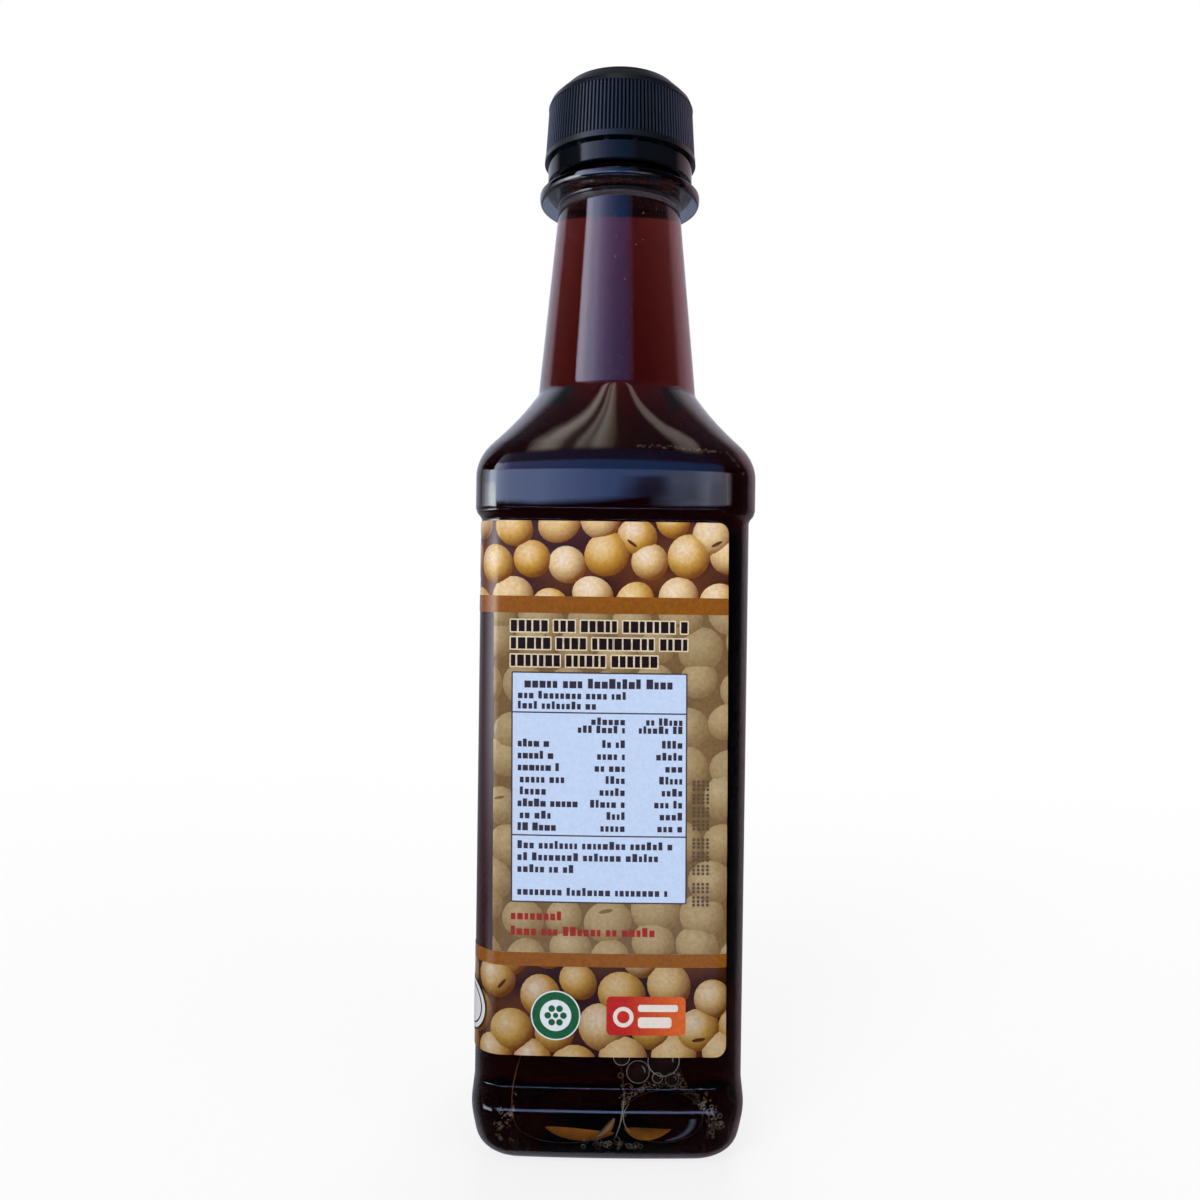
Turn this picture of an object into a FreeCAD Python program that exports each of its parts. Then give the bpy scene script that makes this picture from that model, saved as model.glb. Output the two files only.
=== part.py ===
"""A sauce bottle: a square-bodied clear bottle with its sauce, a ribbed screw cap and a wrap-round label.

Millimetres, +Z up. The origin is at the middle of the base, which stands on z = 0, and -Y is the side
on which the label's free end shows. Four pieces: bottle, sauce, cap and label.
"""

import FreeCAD, Part

import math
import os

# Body: PANEL_WIDTH is across the middles of opposite faces
PANEL_WIDTH = 51.7
LOWER_BUMPER_PROUD = 0.65    # how far the bumpers stand out from the panel
UPPER_BUMPER_PROUD = 1.15
FOOT_INSET = 1.35            # how far in from the panel the foot's slope meets the base plane
CORNER_RADIUS = 6.5          # of the panel's upright corners
FACE_TURN = 2.6              # degrees that each face curves from its middle to its end
NECK_TURN = 22.5             # the same where the shoulder has become round
WALL = 0.45

# Body lengths, from the base up
FOOT_HEIGHT = 10.2           # up to where the lower bumper is widest
LOWER_STEP_HEIGHT = 5.6
PANEL_LENGTH = 105.4
UPPER_STEP_HEIGHT = 1.4
UPPER_BUMPER_LENGTH = 10.3
SHOULDER_HEIGHT = 15.2
NECK_LENGTH = 39.6

# Roundings seen from the side
BASE_ROUNDING = 6.5
LOWER_BUMPER_ROUNDING = 12.0
LOWER_STEP_ROUNDING = 4.0
UPPER_STEP_ROUNDING = 1.5
UPPER_BUMPER_ROUNDING = 2.2
SHOULDER_ROUNDING = 12.0
NECK_ROUNDING = 3.0

# Base: a dome inside a flat rim that the bottle stands on
RIM_WIDTH = 2.2
PUSH_UP_HEIGHT = 3.6
BASE_WALL = 0.9

# Neck and finish
NECK_BOTTOM_RADIUS = 16.35
NECK_TOP_RADIUS = 12.65
RING_PROUD = 1.65            # how far the ring stands out past the tamper band
RING_THICKNESS = 2.2
RING_TOP_EDGE = 0.5          # how far the ring's edges are cut back
RING_BOTTOM_EDGE = 0.8
FINISH_RADIUS = 12.6
FINISH_WALL = 1.7
FINISH_CHAMFER = 1.0
BEAD_HEIGHT = 2.0            # of the bead that holds the tamper band

# Sauce
SAUCE_ABOVE_RING = 2.6       # its level is then behind the tamper band
SAUCE_CLEARANCE = 0.03

# Cap
CAP_TOP_WALL = 1.4
CAP_BEVEL_RUN = 3.1
CAP_BEVEL_HEIGHT = 3.9
CAP_BEVEL_SHAPE = ((0.13, 0.27), (0.47, 0.55), (0.81, 0.8))   # shares of its run and of its height
CAP_TOP_EDGE = 0.2
CAP_FLARE = 0.7              # how much wider the skirt is at its foot
CAP_WALL = 1.4
CAP_CLEARANCE = 0.2
THREAD_ROOM = 0.6            # between the finish and the inside of the skirt
SKIRT_DEPTH = 13.7           # from the bottle's top down to the foot of the skirt
RIB_COUNT = 126
RIB_DEPTH = 0.3
RIB_SHAPE = ((0, 0), (0.35, 0), (0.55, 1), (0.8, 1))   # shares of the pitch and of the depth
RIB_INSET = 0.1              # how far the ribs' tips lie behind the lip and the bevel
LIP_HEIGHT = 1.1
BRIDGE_COUNT = 16
BRIDGE_WIDTH = 0.9
BRIDGE_HEIGHT = 0.7
BRIDGE_INSET = 0.3
BAND_INSET = 0.05            # how far the tamper band lies behind the top of the skirt
BAND_WALL = 1.0
BAND_ABOVE_RING = 2.2
BAND_HEIGHT = 3.4
BEAD_CLEARANCE = 0.15

# Label
LABEL_ABOVE_FOOT = 5.9      # from the panel's lower end to the label
LABEL_BELOW_STEP = 0.6      # from the label to the panel's upper end
LABEL_END_MARGIN = 4.15      # from the label's ends to the outside of the bare face
LABEL_CORNER = 2.0
LABEL_THICKNESS = 0.12
LABEL_CLEARANCE = 0.02

ARC_STEPS = 6                # sections along each rounding

# Heights that follow from the lengths
PANEL_BOTTOM = FOOT_HEIGHT + LOWER_STEP_HEIGHT
PANEL_TOP = PANEL_BOTTOM + PANEL_LENGTH
UPPER_BUMPER_BOTTOM = PANEL_TOP + UPPER_STEP_HEIGHT
SHOULDER_BOTTOM = UPPER_BUMPER_BOTTOM + UPPER_BUMPER_LENGTH
NECK_BOTTOM = SHOULDER_BOTTOM + SHOULDER_HEIGHT
RING_BOTTOM = NECK_BOTTOM + NECK_LENGTH
RING_TOP = RING_BOTTOM + RING_THICKNESS
BAND_BOTTOM = RING_TOP + BAND_ABOVE_RING
BAND_TOP = BAND_BOTTOM + BAND_HEIGHT
LIP_BOTTOM = BAND_TOP + BRIDGE_HEIGHT
BOTTLE_TOP = LIP_BOTTOM + SKIRT_DEPTH

# Radii and half widths that follow
PANEL_HALF = PANEL_WIDTH / 2
BUMPER_HALF = PANEL_HALF + UPPER_BUMPER_PROUD
SKIRT_ROOM = FINISH_RADIUS + THREAD_ROOM
RIB_ROOT_RADIUS = SKIRT_ROOM + CAP_WALL
CAP_RADIUS = RIB_ROOT_RADIUS + RIB_DEPTH + RIB_INSET
BAND_RADIUS = CAP_RADIUS - BAND_INSET
BAND_ROOM = BAND_RADIUS - BAND_WALL
RING_RADIUS = BAND_RADIUS + RING_PROUD


def vector(x, y, z=0.0):
    return FreeCAD.Vector(x, y, z)


def revolved(outline):
    """The solid that an outline of (radius, height) points makes when it turns about the Z axis."""
    points = [vector(r, 0, z) for r, z in outline]
    face = Part.Face(Part.makePolygon(points + points[:1]))
    return face.revolve(vector(0, 0), vector(0, 0, 1), 360)


# --- Outline of the body, seen from the side ---

def body_corners():
    """The corners of the body's outline as (half width, height, rounding), from the base up to the neck."""
    neck_slope = (NECK_BOTTOM_RADIUS - NECK_TOP_RADIUS) / NECK_LENGTH
    cone_start = 2 * NECK_ROUNDING
    return [
        (PANEL_HALF / 2, 0, 0),
        (PANEL_HALF - FOOT_INSET, 0, BASE_ROUNDING),
        (PANEL_HALF + LOWER_BUMPER_PROUD, FOOT_HEIGHT, LOWER_BUMPER_ROUNDING),
        (PANEL_HALF, PANEL_BOTTOM, LOWER_STEP_ROUNDING),
        (PANEL_HALF, PANEL_TOP, UPPER_STEP_ROUNDING),
        (BUMPER_HALF, UPPER_BUMPER_BOTTOM, UPPER_BUMPER_ROUNDING),
        (BUMPER_HALF, SHOULDER_BOTTOM, SHOULDER_ROUNDING),
        (NECK_BOTTOM_RADIUS, NECK_BOTTOM, NECK_ROUNDING),
        (NECK_BOTTOM_RADIUS - neck_slope * cone_start, NECK_BOTTOM + cone_start, 0),
    ]


def direction(a, b):
    length = math.hypot(b[0] - a[0], b[1] - a[1])
    return (b[0] - a[0]) / length, (b[1] - a[1]) / length


def inset_corners(corners, inset):
    """The outline moved inwards by inset, with each rounding kept concentric."""
    moved = []
    for i, (half, height, rounding) in enumerate(corners):
        before = direction(*corners[i - 1:i + 1]) if i else None
        after = direction(corners[i], corners[i + 1]) if i + 1 < len(corners) else None
        before = before or after
        after = after or before
        turn = before[0] * after[1] - before[1] * after[0]
        reach = inset / (1 + before[0] * after[0] + before[1] * after[1])
        moved.append((
            half - reach * (before[1] + after[1]),
            height + reach * (before[0] + after[0]),
            rounding and rounding - math.copysign(inset, turn),
        ))
    return moved


def rounded_spans(corners):
    """Cuts the outline into its straight spans and roundings, each a list of (half width, height)."""
    spans = []
    start = corners[0][:2]
    for before, corner, after in zip(corners, corners[1:], corners[2:]):
        into = direction(before, corner)
        away = direction(corner, after)
        turn = math.atan2(into[0] * away[1] - into[1] * away[0], into[0] * away[0] + into[1] * away[1])
        radius = math.copysign(corner[2], turn)
        setback = radius * math.tan(turn / 2)
        first = (corner[0] - setback * into[0], corner[1] - setback * into[1])
        centre = (first[0] - radius * into[1], first[1] + radius * into[0])
        arc = []
        for step in range(ARC_STEPS + 1):
            angle = turn * step / ARC_STEPS
            swing = (
                into[0] * math.cos(angle) - into[1] * math.sin(angle),
                into[0] * math.sin(angle) + into[1] * math.cos(angle),
            )
            arc.append((centre[0] + radius * swing[1], centre[1] - radius * swing[0]))
        spans.append([start, arc[0]])
        spans.append(arc)
        start = arc[-1]
    spans.append([start, corners[-1][:2]])
    return spans


# --- Level sections of the body ---

def face_turn_and_centre(half, height):
    """How far a section's faces curve, in radians, and how far out its corners' centres lie.

    Up to the shoulder both are those of the panel, and on the shoulder they go over to a circle's.
    """
    turn = math.radians(FACE_TURN)
    centre = (PANEL_HALF - CORNER_RADIUS) / (1 + math.tan(turn / 2))
    if height < PANEL_BOTTOM:
        return turn, centre * min(1, half / PANEL_HALF)
    if height < UPPER_BUMPER_BOTTOM:
        return turn, centre
    square = (half - NECK_BOTTOM_RADIUS) / (BUMPER_HALF - NECK_BOTTOM_RADIUS)
    square = min(1, max(0, square))
    return turn * square + math.radians(NECK_TURN) * (1 - square), centre * square


def section(half, height, inset=0.0):
    """A level wire of eight tangent arcs: four slightly curved faces joined by four round corners.

    half is the half width at the faces' middles. An inset section is parallel to the full one.
    """
    turn, centre = face_turn_and_centre(half + inset, height)
    face_centre = centre / math.tan(turn) - centre
    face_radius = half + face_centre
    corner_radius = half - centre * (1 + math.tan(turn / 2))

    def arc(middle, radius, start, end):
        points = []
        for angle in (start, (start + end) / 2, end):
            points.append(middle + radius * vector(math.cos(angle), math.sin(angle)))
        return Part.Arc(*points).toShape()

    edges = []
    for quarter in range(4):
        facing = quarter * math.pi / 2
        face_middle = -face_centre * vector(math.cos(facing), math.sin(facing))
        diagonal = facing + math.pi / 4
        corner_middle = math.sqrt(2) * centre * vector(math.cos(diagonal), math.sin(diagonal))
        edges.append(arc(face_middle, face_radius, facing - turn, facing + turn))
        edges.append(arc(corner_middle, corner_radius, facing + turn, facing + math.pi / 2 - turn))
    wire = Part.Wire(edges)
    wire.translate(vector(0, 0, height))
    return wire


def body_form(inset):
    """The body and shoulder as one solid without the neck, its surface moved inwards by inset."""
    spans = rounded_spans(inset_corners(body_corners(), inset))
    faces = []
    for span in spans[1:-1]:
        wires = [section(half, height, inset) for half, height in span]
        faces += Part.makeLoft(wires, False, len(span) == 2).Faces
    for half, height in (spans[1][0], spans[-2][-1]):
        faces.append(Part.Face(section(half, height, inset)))
    shell = Part.makeShell(faces)
    shell.sewShape()
    return Part.Solid(shell)


def neck_start(inset):
    """The radius and height at which the round neck takes over from the body."""
    return rounded_spans(inset_corners(body_corners(), inset))[-1][0]


def push_up(thickness):
    """The ball that domes the base, grown by thickness. Its poles lie to the sides, clear of the dome."""
    flat_half = rounded_spans(body_corners())[0][-1][0]
    rim_radius = flat_half - RIM_WIDTH
    radius = (rim_radius ** 2 + PUSH_UP_HEIGHT ** 2) / (2 * PUSH_UP_HEIGHT)
    return Part.makeSphere(radius + thickness, vector(0, 0, PUSH_UP_HEIGHT - radius), vector(1, 0))


# --- The pieces ---

def outside():
    """The bottle's outer form: body, neck, support ring and the plain finish that the cap covers."""
    start_radius, start_height = neck_start(0)
    round_middle = 1 - math.sqrt(0.5)
    bead_radius = BAND_ROOM - BEAD_CLEARANCE
    bead_top = (BAND_BOTTOM + BAND_TOP + BEAD_HEIGHT) / 2
    neck = revolved([
        (0, start_height),
        (start_radius, start_height),
        (NECK_TOP_RADIUS, RING_BOTTOM),
        (RING_RADIUS - RING_BOTTOM_EDGE, RING_BOTTOM),
        (RING_RADIUS - RING_BOTTOM_EDGE * round_middle, RING_BOTTOM + RING_BOTTOM_EDGE * round_middle),
        (RING_RADIUS, RING_BOTTOM + RING_BOTTOM_EDGE),
        (RING_RADIUS, RING_TOP - RING_TOP_EDGE),
        (RING_RADIUS - RING_TOP_EDGE, RING_TOP),
        (FINISH_RADIUS, RING_TOP),
        (FINISH_RADIUS, bead_top - BEAD_HEIGHT),
        (bead_radius, bead_top - BEAD_HEIGHT),
        (bead_radius, bead_top - BEAD_HEIGHT / 2),
        (FINISH_RADIUS, bead_top),
        (FINISH_RADIUS, BOTTLE_TOP - FINISH_CHAMFER),
        (FINISH_RADIUS - FINISH_CHAMFER, BOTTLE_TOP),
        (0, BOTTLE_TOP),
    ])
    return body_form(0).fuse(neck).cut(push_up(0)).removeSplitter()


def inside(clearance, top):
    """The room inside the bottle up to top, made smaller all round by clearance."""
    inset = WALL + clearance
    start_radius, start_height = neck_start(inset)
    bore = FINISH_RADIUS - FINISH_WALL - clearance
    above = BOTTLE_TOP + SKIRT_DEPTH
    neck = revolved([
        (0, start_height),
        (start_radius, start_height),
        (NECK_TOP_RADIUS - inset, RING_BOTTOM),
        (bore, RING_TOP),
        (bore, above),
        (0, above),
    ])
    room = body_form(inset).fuse(neck).cut(push_up(BASE_WALL + clearance))
    lid = Part.makeCylinder(2 * BUMPER_HALF, above - top, vector(0, 0, top))
    return room.cut(lid).removeSplitter()


def bottle():
    return outside().cut(inside(0, BOTTLE_TOP + 1))


def sauce():
    return inside(SAUCE_CLEARANCE, RING_TOP + SAUCE_ABOVE_RING)


def ribbed_outline(tip, height):
    """A level wire round the tips and roots of the cap's ribs."""
    points = []
    for rib in range(RIB_COUNT):
        for along, inward in RIB_SHAPE:
            angle = 2 * math.pi * (rib + along) / RIB_COUNT
            radius = tip - inward * RIB_DEPTH
            points.append(vector(radius * math.cos(angle), radius * math.sin(angle), height))
    return Part.makePolygon(points + points[:1])


def cap():
    """The screw cap in one moulding: ribbed skirt, smooth lip, and a tamper band held by thin bridges."""
    top = BOTTLE_TOP + CAP_TOP_WALL
    skirt_top = top - CAP_BEVEL_HEIGHT
    lip_top = LIP_BOTTOM + LIP_HEIGHT
    foot_radius = CAP_RADIUS + CAP_FLARE
    lip_top_radius = foot_radius - CAP_FLARE * LIP_HEIGHT / (skirt_top - LIP_BOTTOM)
    core_radius = RIB_ROOT_RADIUS - CAP_WALL / 2
    bevel = [
        (CAP_RADIUS - inward * CAP_BEVEL_RUN, skirt_top + upward * CAP_BEVEL_HEIGHT)
        for inward, upward in CAP_BEVEL_SHAPE
    ]
    core = revolved([
        (0, LIP_BOTTOM),
        (foot_radius, LIP_BOTTOM),
        (lip_top_radius, lip_top),
        (core_radius, lip_top),
        (core_radius, skirt_top),
        (CAP_RADIUS, skirt_top),
        *bevel,
        (CAP_RADIUS - CAP_BEVEL_RUN, top - CAP_TOP_EDGE),
        (CAP_RADIUS - CAP_BEVEL_RUN - CAP_TOP_EDGE, top),
        (0, top),
    ])
    ribs = Part.makeLoft([
        ribbed_outline(lip_top_radius - RIB_INSET, lip_top),
        ribbed_outline(CAP_RADIUS - RIB_INSET, skirt_top),
    ], True, True)
    band = Part.makeCylinder(BAND_RADIUS, BAND_TOP - BAND_BOTTOM, vector(0, 0, BAND_BOTTOM))
    bridges = []
    for i in range(BRIDGE_COUNT):
        bridge = Part.makeBox(BAND_RADIUS - BRIDGE_INSET, BRIDGE_WIDTH, BRIDGE_HEIGHT)
        bridge.translate(vector(0, -BRIDGE_WIDTH / 2, BAND_TOP))
        bridge.rotate(vector(0, 0), vector(0, 0, 1), 360 * (i + 0.5) / BRIDGE_COUNT)
        bridges.append(bridge)
    finish_room = FINISH_RADIUS + CAP_CLEARANCE
    bore = revolved([
        (0, BAND_BOTTOM),
        (BAND_ROOM, BAND_BOTTOM),
        (BAND_ROOM, LIP_BOTTOM),
        (SKIRT_ROOM, LIP_BOTTOM),
        (SKIRT_ROOM, skirt_top - FINISH_CHAMFER),
        (finish_room, skirt_top),
        (finish_room, BOTTLE_TOP - FINISH_CHAMFER),
        (finish_room - FINISH_CHAMFER, BOTTLE_TOP),
        (0, BOTTLE_TOP),
    ])
    return core.fuse([ribs, band] + bridges).cut(bore)


def label():
    """A thin wrap round three faces, whose two ends stop short of the bare face on the +X side."""
    bottom = PANEL_BOTTOM + LABEL_ABOVE_FOOT
    height = PANEL_LENGTH - LABEL_ABOVE_FOOT - LABEL_BELOW_STEP
    end = PANEL_HALF - LABEL_END_MARGIN

    def prism(outward):
        ring = Part.Face(section(PANEL_HALF + outward, bottom, -outward))
        return ring.extrude(vector(0, 0, height))

    wrap = prism(LABEL_CLEARANCE + LABEL_THICKNESS).cut(prism(LABEL_CLEARANCE))
    reach = 2 * PANEL_WIDTH
    window = Part.makeBox(reach, reach, height, vector(end - reach, -reach / 2, bottom))
    corners = [e for e in window.Edges if e.CenterOfMass.x > 0 and e.BoundBox.YLength > PANEL_WIDTH]
    return wrap.common(window.makeFillet(LABEL_CORNER, corners))


def main():
    os.makedirs("parts", exist_ok=True)
    for make in (bottle, sauce, cap, label):
        shape = make()
        shape.exportStep(f"parts/{make.__name__}.step")


main()
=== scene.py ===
"""Looks for the sauce bottle: clear walls, dark sauce with trapped air, printed label and black cap.

Metres, +Z up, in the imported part's frame. Lengths written in millimetres are turned into metres by MM
when a mesh is made. The camera stands in front, on the -Y side.
"""

import random
from math import asin, atan2, ceil, copysign, cos, dist, floor, hypot, pi, radians, sin, sqrt, tan

import bmesh
import bpy
from mathutils import Matrix, Vector


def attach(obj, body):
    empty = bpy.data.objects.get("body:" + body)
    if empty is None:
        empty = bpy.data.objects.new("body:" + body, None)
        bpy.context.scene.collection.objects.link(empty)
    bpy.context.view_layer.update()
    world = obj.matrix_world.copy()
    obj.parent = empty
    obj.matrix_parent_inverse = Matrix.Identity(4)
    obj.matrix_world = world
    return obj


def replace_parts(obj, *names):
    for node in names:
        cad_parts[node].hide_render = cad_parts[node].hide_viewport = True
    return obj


MM = 0.001

# The bottle's, cap's and label's sizes, in millimetres, as in the part
PANEL_HALF = 25.85
LOWER_BUMPER_PROUD = 0.65
UPPER_BUMPER_PROUD = 1.15
FOOT_INSET = 1.35
CORNER_RADIUS = 6.5
FACE_TURN = radians(2.6)
NECK_TURN = radians(22.5)
WALL = 0.45
FOOT_TOP = 10.2
PANEL_BOTTOM = 15.8
PANEL_TOP = 121.2
UPPER_BUMPER_BOTTOM = 122.6
SHOULDER_BOTTOM = 132.9
NECK_BOTTOM = 148.1
RING_BOTTOM = 187.7
RING_TOP = 189.9
BOTTLE_TOP = 209.9
FILL_LEVEL = 192.5
NECK_BOTTOM_RADIUS = 16.35
NECK_TOP_RADIUS = 12.65
RING_RADIUS = 16.6
FINISH_RADIUS = 12.6
BORE_RADIUS = 10.9
LIP_TOP = 197.7
SKIRT_TOP = 207.4
RIB_FOOT_RADIUS = 15.53
RIB_TOP_RADIUS = 14.9
RIB_DEPTH = 0.3
GLOSSY_TO = 195.6            # the cap's surface is glossy up to here, on its tamper band
SATIN_FROM = 196.2
PUSH_UP_HEIGHT = 3.6
RIM_WIDTH = 2.2
BASE_WALL = 0.9
LABEL_BOTTOM = 21.7
LABEL_TOP = 120.6
LABEL_END = 21.7
LABEL_INSIDE = 0.02
LABEL_OUTSIDE = 0.14

# How finely the round forms are cut
ARC_STEPS = 10
ROW_STEP = 2.0
FACE_STEPS = 16
CORNER_STEPS = 14
BASE_RINGS = 16
THREAD_SIDES = 6
FLAT = 1e-6                  # a height within this of the floor's counts as level with it

# The camera, in metres and radians, with the lens in millimetres and the shifts in widths of the picture
CAMERA_DISTANCE = 0.212
CAMERA_HEIGHT = 0.1082
CAMERA_TILT = -0.0084
CAMERA_ROLL = 0.0137
CAMERA_LENS = 30.33
CAMERA_SHIFT = (-0.0119, -0.0022)


def srgb(red, green, blue, alpha=1.0):
    """A colour written as on a screen, 0 to 255, as the shaders need it."""
    def linear(c):
        c /= 255
        return c / 12.92 if c <= 0.04045 else ((c + 0.055) / 1.055) ** 2.4
    return linear(red), linear(green), linear(blue), alpha


def add_object(name, data):
    made = bpy.data.objects.new(name, data)
    bpy.context.scene.collection.objects.link(made)
    return made


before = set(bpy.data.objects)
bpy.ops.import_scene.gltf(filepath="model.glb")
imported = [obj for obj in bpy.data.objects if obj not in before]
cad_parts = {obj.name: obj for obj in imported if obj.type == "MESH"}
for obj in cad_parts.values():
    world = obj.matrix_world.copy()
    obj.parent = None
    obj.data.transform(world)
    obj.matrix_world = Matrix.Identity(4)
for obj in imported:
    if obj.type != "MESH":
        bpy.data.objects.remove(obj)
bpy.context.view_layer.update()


# --- Camera ---

camera_data = bpy.data.cameras.new("camera")
camera_data.sensor_width = 36.0
camera_data.lens = CAMERA_LENS
camera_data.shift_x, camera_data.shift_y = CAMERA_SHIFT
camera_data.clip_start = 0.001
camera = add_object("camera", camera_data)
camera.matrix_world = (
    Matrix.Translation((0, -CAMERA_DISTANCE, CAMERA_HEIGHT))
    @ Matrix.Rotation(pi / 2 + CAMERA_TILT, 4, "X")
    @ Matrix.Rotation(CAMERA_ROLL, 4, "Z")
)
bpy.context.scene.camera = camera
bpy.context.scene.view_settings.view_transform = "Standard"


# --- Materials ---

class Shader:
    """A material's node tree, with short ways to add and join nodes."""

    def __init__(self, tree):
        self.tree = tree
        tree.nodes.clear()

    def add(self, kind, settings=(), **inputs):
        node = self.tree.nodes.new("ShaderNode" + kind)
        for name, value in dict(settings).items():
            setattr(node, name, value)
        self.fill(node, **inputs)
        return node

    def put(self, node, name, value):
        """Sets or joins an input by its name, with _ for each space, or by its number after a _."""
        socket = node.inputs[int(name[1:]) if name[0] == "_" else name.replace("_", " ")]
        if isinstance(value, bpy.types.NodeSocket):
            self.tree.links.new(value, socket)
        else:
            socket.default_value = value

    def fill(self, node, **inputs):
        for name, value in inputs.items():
            self.put(node, name, value)

    def math(self, operation, a, b=0.0):
        return self.add("Math", {"operation": operation}, _0=a, _1=b).outputs[0]

    def times(self, a, b):
        return self.math("MULTIPLY", a, b)

    def inverted(self, value):
        return self.math("SUBTRACT", 1.0, value)

    def span(self, value, start=0.0, end=1.0, low=0.0, high=1.0, kind="LINEAR"):
        """low before start, high after end, and even between."""
        limits = {"From_Min": start, "From_Max": end, "To_Min": low, "To_Max": high}
        return self.add("MapRange", {"interpolation_type": kind}, Value=value, **limits).outputs[0]

    def ramp(self, value, start, end):
        """0 before start, 1 after end, and smooth between."""
        return self.span(value, start, end, kind="SMOOTHSTEP")

    def mix(self, factor, a, b):
        return self.add("Mix", {"data_type": "RGBA"}, _0=factor, _6=a, _7=b).outputs[2]

    def scaled(self, colour, by):
        return self.add("VectorMath", {"operation": "SCALE"}, _0=colour, Scale=by).outputs[0]

    def brighter(self, a, b):
        return self.add("VectorMath", {"operation": "MAXIMUM"}, _0=a, _1=b).outputs[0]

    def length(self, vector):
        return self.add("VectorMath", {"operation": "LENGTH"}, _0=vector).outputs["Value"]

    def place(self):
        return self.add("TexCoord").outputs["Object"]

    def noise(self, scale, detail=2.0, stretch=(1, 1, 1)):
        where = self.place()
        if stretch != (1, 1, 1):
            where = self.add("Mapping", Vector=where, Scale=stretch).outputs[0]
        return self.add("TexNoise", Vector=where, Scale=scale, Detail=detail).outputs["Fac"]

    def bump(self, height, strength, distance):
        return self.add("Bump", Height=height, Strength=strength, Distance=distance).outputs[0]

    def worked_in(self, grain_scale, low, high):
        """The colour worked into the mesh, with fine grain."""
        tone = self.add("Attribute", {"attribute_name": "tone"}).outputs["Color"]
        return self.scaled(tone, self.span(self.noise(grain_scale), 0.3, 0.7, low, high))


def new_material(name):
    material = bpy.data.materials.new(name)
    material.use_nodes = True
    shader = Shader(material.node_tree)
    surface = shader.add("BsdfPrincipled")
    out = shader.add("OutputMaterial", Surface=surface.outputs[0])
    return material, shader, surface, out


def clear_plastic(name, gloss, colour=(0.97, 0.985, 1.0, 1)):
    """gloss is black where the wall meets the sauce, which bends light almost as much."""
    material, s, surface, _ = new_material(name)
    s.fill(surface, Specular_Tint=gloss, Base_Color=colour, Transmission_Weight=1.0, IOR=1.55, Roughness=0.02)
    s.put(surface, "Normal", s.bump(s.noise(55, stretch=(1, 1, 0.35)), 0.25, 0.0004))
    return material


def sauce_material():
    """Clear, but it takes up blue and green light on the way through."""
    material, s, surface, out = new_material("sauce")
    s.fill(surface, Base_Color=(1, 1, 1, 1), Transmission_Weight=1.0, IOR=1.38, Roughness=0.0)
    s.put(surface, "Specular Tint", (0, 0, 0, 1))
    s.put(out, "Volume", s.add("VolumeAbsorption", Color=(0.52, 0.085, 0.03, 1), Density=200.0).outputs[0])
    return material


def black_plastic():
    """Satin on the ribs, with painted shade darkening the grooves between them and dimming their gloss, and
    glossier on the tamper band below.
    """
    material, s, surface, _ = new_material("black_plastic")
    grain = s.noise(900, 3)
    place = s.place()
    height = s.add("SeparateXYZ", Vector=place).outputs["Z"]
    radius = s.length(s.add("VectorMath", {"operation": "MULTIPLY"}, _0=place, _1=(1, 1, 0)).outputs[0])
    tips = s.span(height, LIP_TOP * MM, SKIRT_TOP * MM, RIB_FOOT_RADIUS * MM, RIB_TOP_RADIUS * MM)
    # Painted shade: the grooves between the ribs are darkened almost to black and their gloss is dimmed, as if
    # the ribs beside them shaded them.
    sunk = s.ramp(s.math("SUBTRACT", tips, radius), RIB_DEPTH * MM / 10, RIB_DEPTH * MM)
    above_lip = s.ramp(height, (LIP_TOP - 0.3) * MM, LIP_TOP * MM)
    ribbed = s.times(above_lip, s.ramp(height, (SKIRT_TOP + 0.2) * MM, SKIRT_TOP * MM))
    painted_groove_shade = s.times(sunk, ribbed)
    # The ribbed part is a dark blue-grey that varies at random; the band below it is darker.
    ribbed_tone = s.mix(s.noise(140), srgb(23, 30, 41), srgb(33, 41, 54))
    plain = s.mix(ribbed, srgb(12, 15, 20), ribbed_tone)
    band_gloss = 0.3
    skirt = s.span(height, GLOSSY_TO * MM, SATIN_FROM * MM, band_gloss, 1.0)
    shine = s.times(s.span(painted_groove_shade, low=0.4, high=0.05), s.span(skirt, band_gloss, low=0.55))
    s.fill(
        surface,
        Base_Color=s.mix(painted_groove_shade, plain, srgb(2, 3, 6)),
        Roughness=s.times(s.span(grain, low=0.3, high=0.42), skirt),
        Specular_IOR_Level=shine,
        Normal=s.bump(grain, 0.2, 0.0001),
    )
    return material


def print_material(name, work):
    """The label's semi-gloss film over what is printed on it, whose colour work(shader) gives."""
    material, s, surface, _ = new_material(name)
    s.put(surface, "Base Color", work(s))
    s.put(surface, "Roughness", s.span(s.noise(500), low=0.2, high=0.28))
    s.put(surface, "Specular IOR Level", 0.27)
    s.put(surface, "Normal", s.bump(s.noise(90), 0.2, 0.0002))
    return material


def ink(name, red=None, green=None, blue=None, change=0.1):
    """Print with the fine grain of its dots, in one colour or, with none given, in the mesh's own."""
    if red is None:
        return print_material(name, lambda s: s.worked_in(1500, 0.88, 1.12))
    colour = srgb(red, green, blue)[:3]
    darker, lighter = (tuple(min(1, c * by) for c in colour) + (1,) for by in (1 - change, 1 + change))
    return print_material(name, lambda s: s.mix(s.ramp(s.noise(1600), 0.35, 0.65), darker, lighter))


# --- Meshes ---

def new_piece(name, bm, materials, smooth=True):
    """Makes a piece that rides on the bottle out of a mesh whose lengths are in millimetres."""
    bmesh.ops.scale(bm, vec=(MM, MM, MM), verts=bm.verts)
    for face in bm.faces:
        face.smooth = smooth
    mesh = bpy.data.meshes.new(name)
    bm.to_mesh(mesh)
    bm.free()
    for material in materials:
        mesh.materials.append(material)
    piece = add_object(name, mesh)
    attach(piece, "root")
    return piece


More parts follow.
